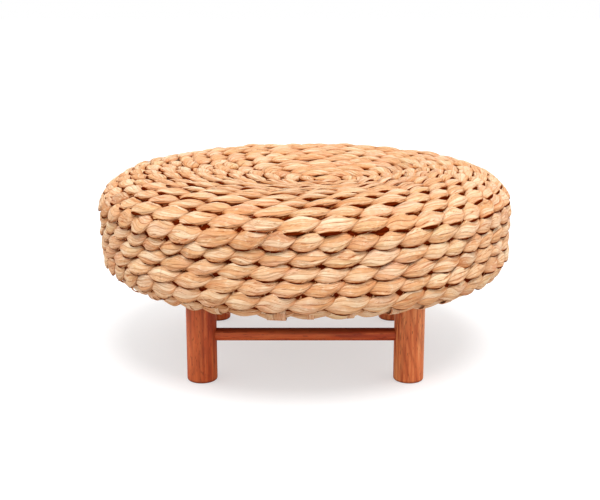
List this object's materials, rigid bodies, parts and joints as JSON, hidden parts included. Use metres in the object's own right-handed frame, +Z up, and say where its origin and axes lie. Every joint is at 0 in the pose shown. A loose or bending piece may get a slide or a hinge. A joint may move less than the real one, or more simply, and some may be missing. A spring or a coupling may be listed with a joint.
{
  "type": "stool",
  "caption": "Low round stool with a dished drum seat of thick wound plant-leaf rope over a hidden frame, on straight round stained legs joined by stretchers.",
  "frame": {"origin": "floor centre under the seat", "axes": "+Z up, front towards -Y, +X to the right seen from the front"},
  "size_m": [0.5403, 0.5404, 0.2521],
  "materials": {
    "rope": "dry twisted plant leaf",
    "cane": "bare split cane",
    "plywood": "bare plywood",
    "stained_wood": "satin reddish brown stain",
    "steel": "bright zinc"
  },
  "bodies": {
    "root": {"rope_winding": "rope", "seat_board": "plywood", "rim_hoop": "cane", "lower_hoop": "cane", "stake_01": "cane", "stake_02": "cane", "stake_03": "cane", "stake_04": "cane", "stake_05": "cane", "stake_06": "cane", "stake_07": "cane", "stake_08": "cane", "stake_09": "cane", "stake_10": "cane", "stake_11": "cane", "stake_12": "cane", "stake_13": "cane", "stake_14": "cane", "stake_15": "cane", "stake_16": "cane", "stake_17": "cane", "stake_18": "cane", "stake_19": "cane", "stake_20": "cane", "stake_21": "cane", "stake_22": "cane", "stake_23": "cane", "stake_24": "cane", "stake_25": "cane", "stake_26": "cane", "stake_27": "cane", "stake_28": "cane", "stake_29": "cane", "stake_30": "cane", "stake_31": "cane", "stake_32": "cane", "batten_left": "stained_wood", "batten_right": "stained_wood", "leg_front_left": "stained_wood", "leg_pin_front_left": "stained_wood", "batten_screw_front_left": "steel", "leg_front_right": "stained_wood", "leg_pin_front_right": "stained_wood", "batten_screw_front_right": "steel", "leg_rear_left": "stained_wood", "leg_pin_rear_left": "stained_wood", "batten_screw_rear_left": "steel", "leg_rear_right": "stained_wood", "leg_pin_rear_right": "stained_wood", "batten_screw_rear_right": "steel", "stretcher_front": "stained_wood", "stretcher_rear": "stained_wood", "stretcher_left": "stained_wood", "stretcher_right": "stained_wood"}
  },
  "joints": []
}
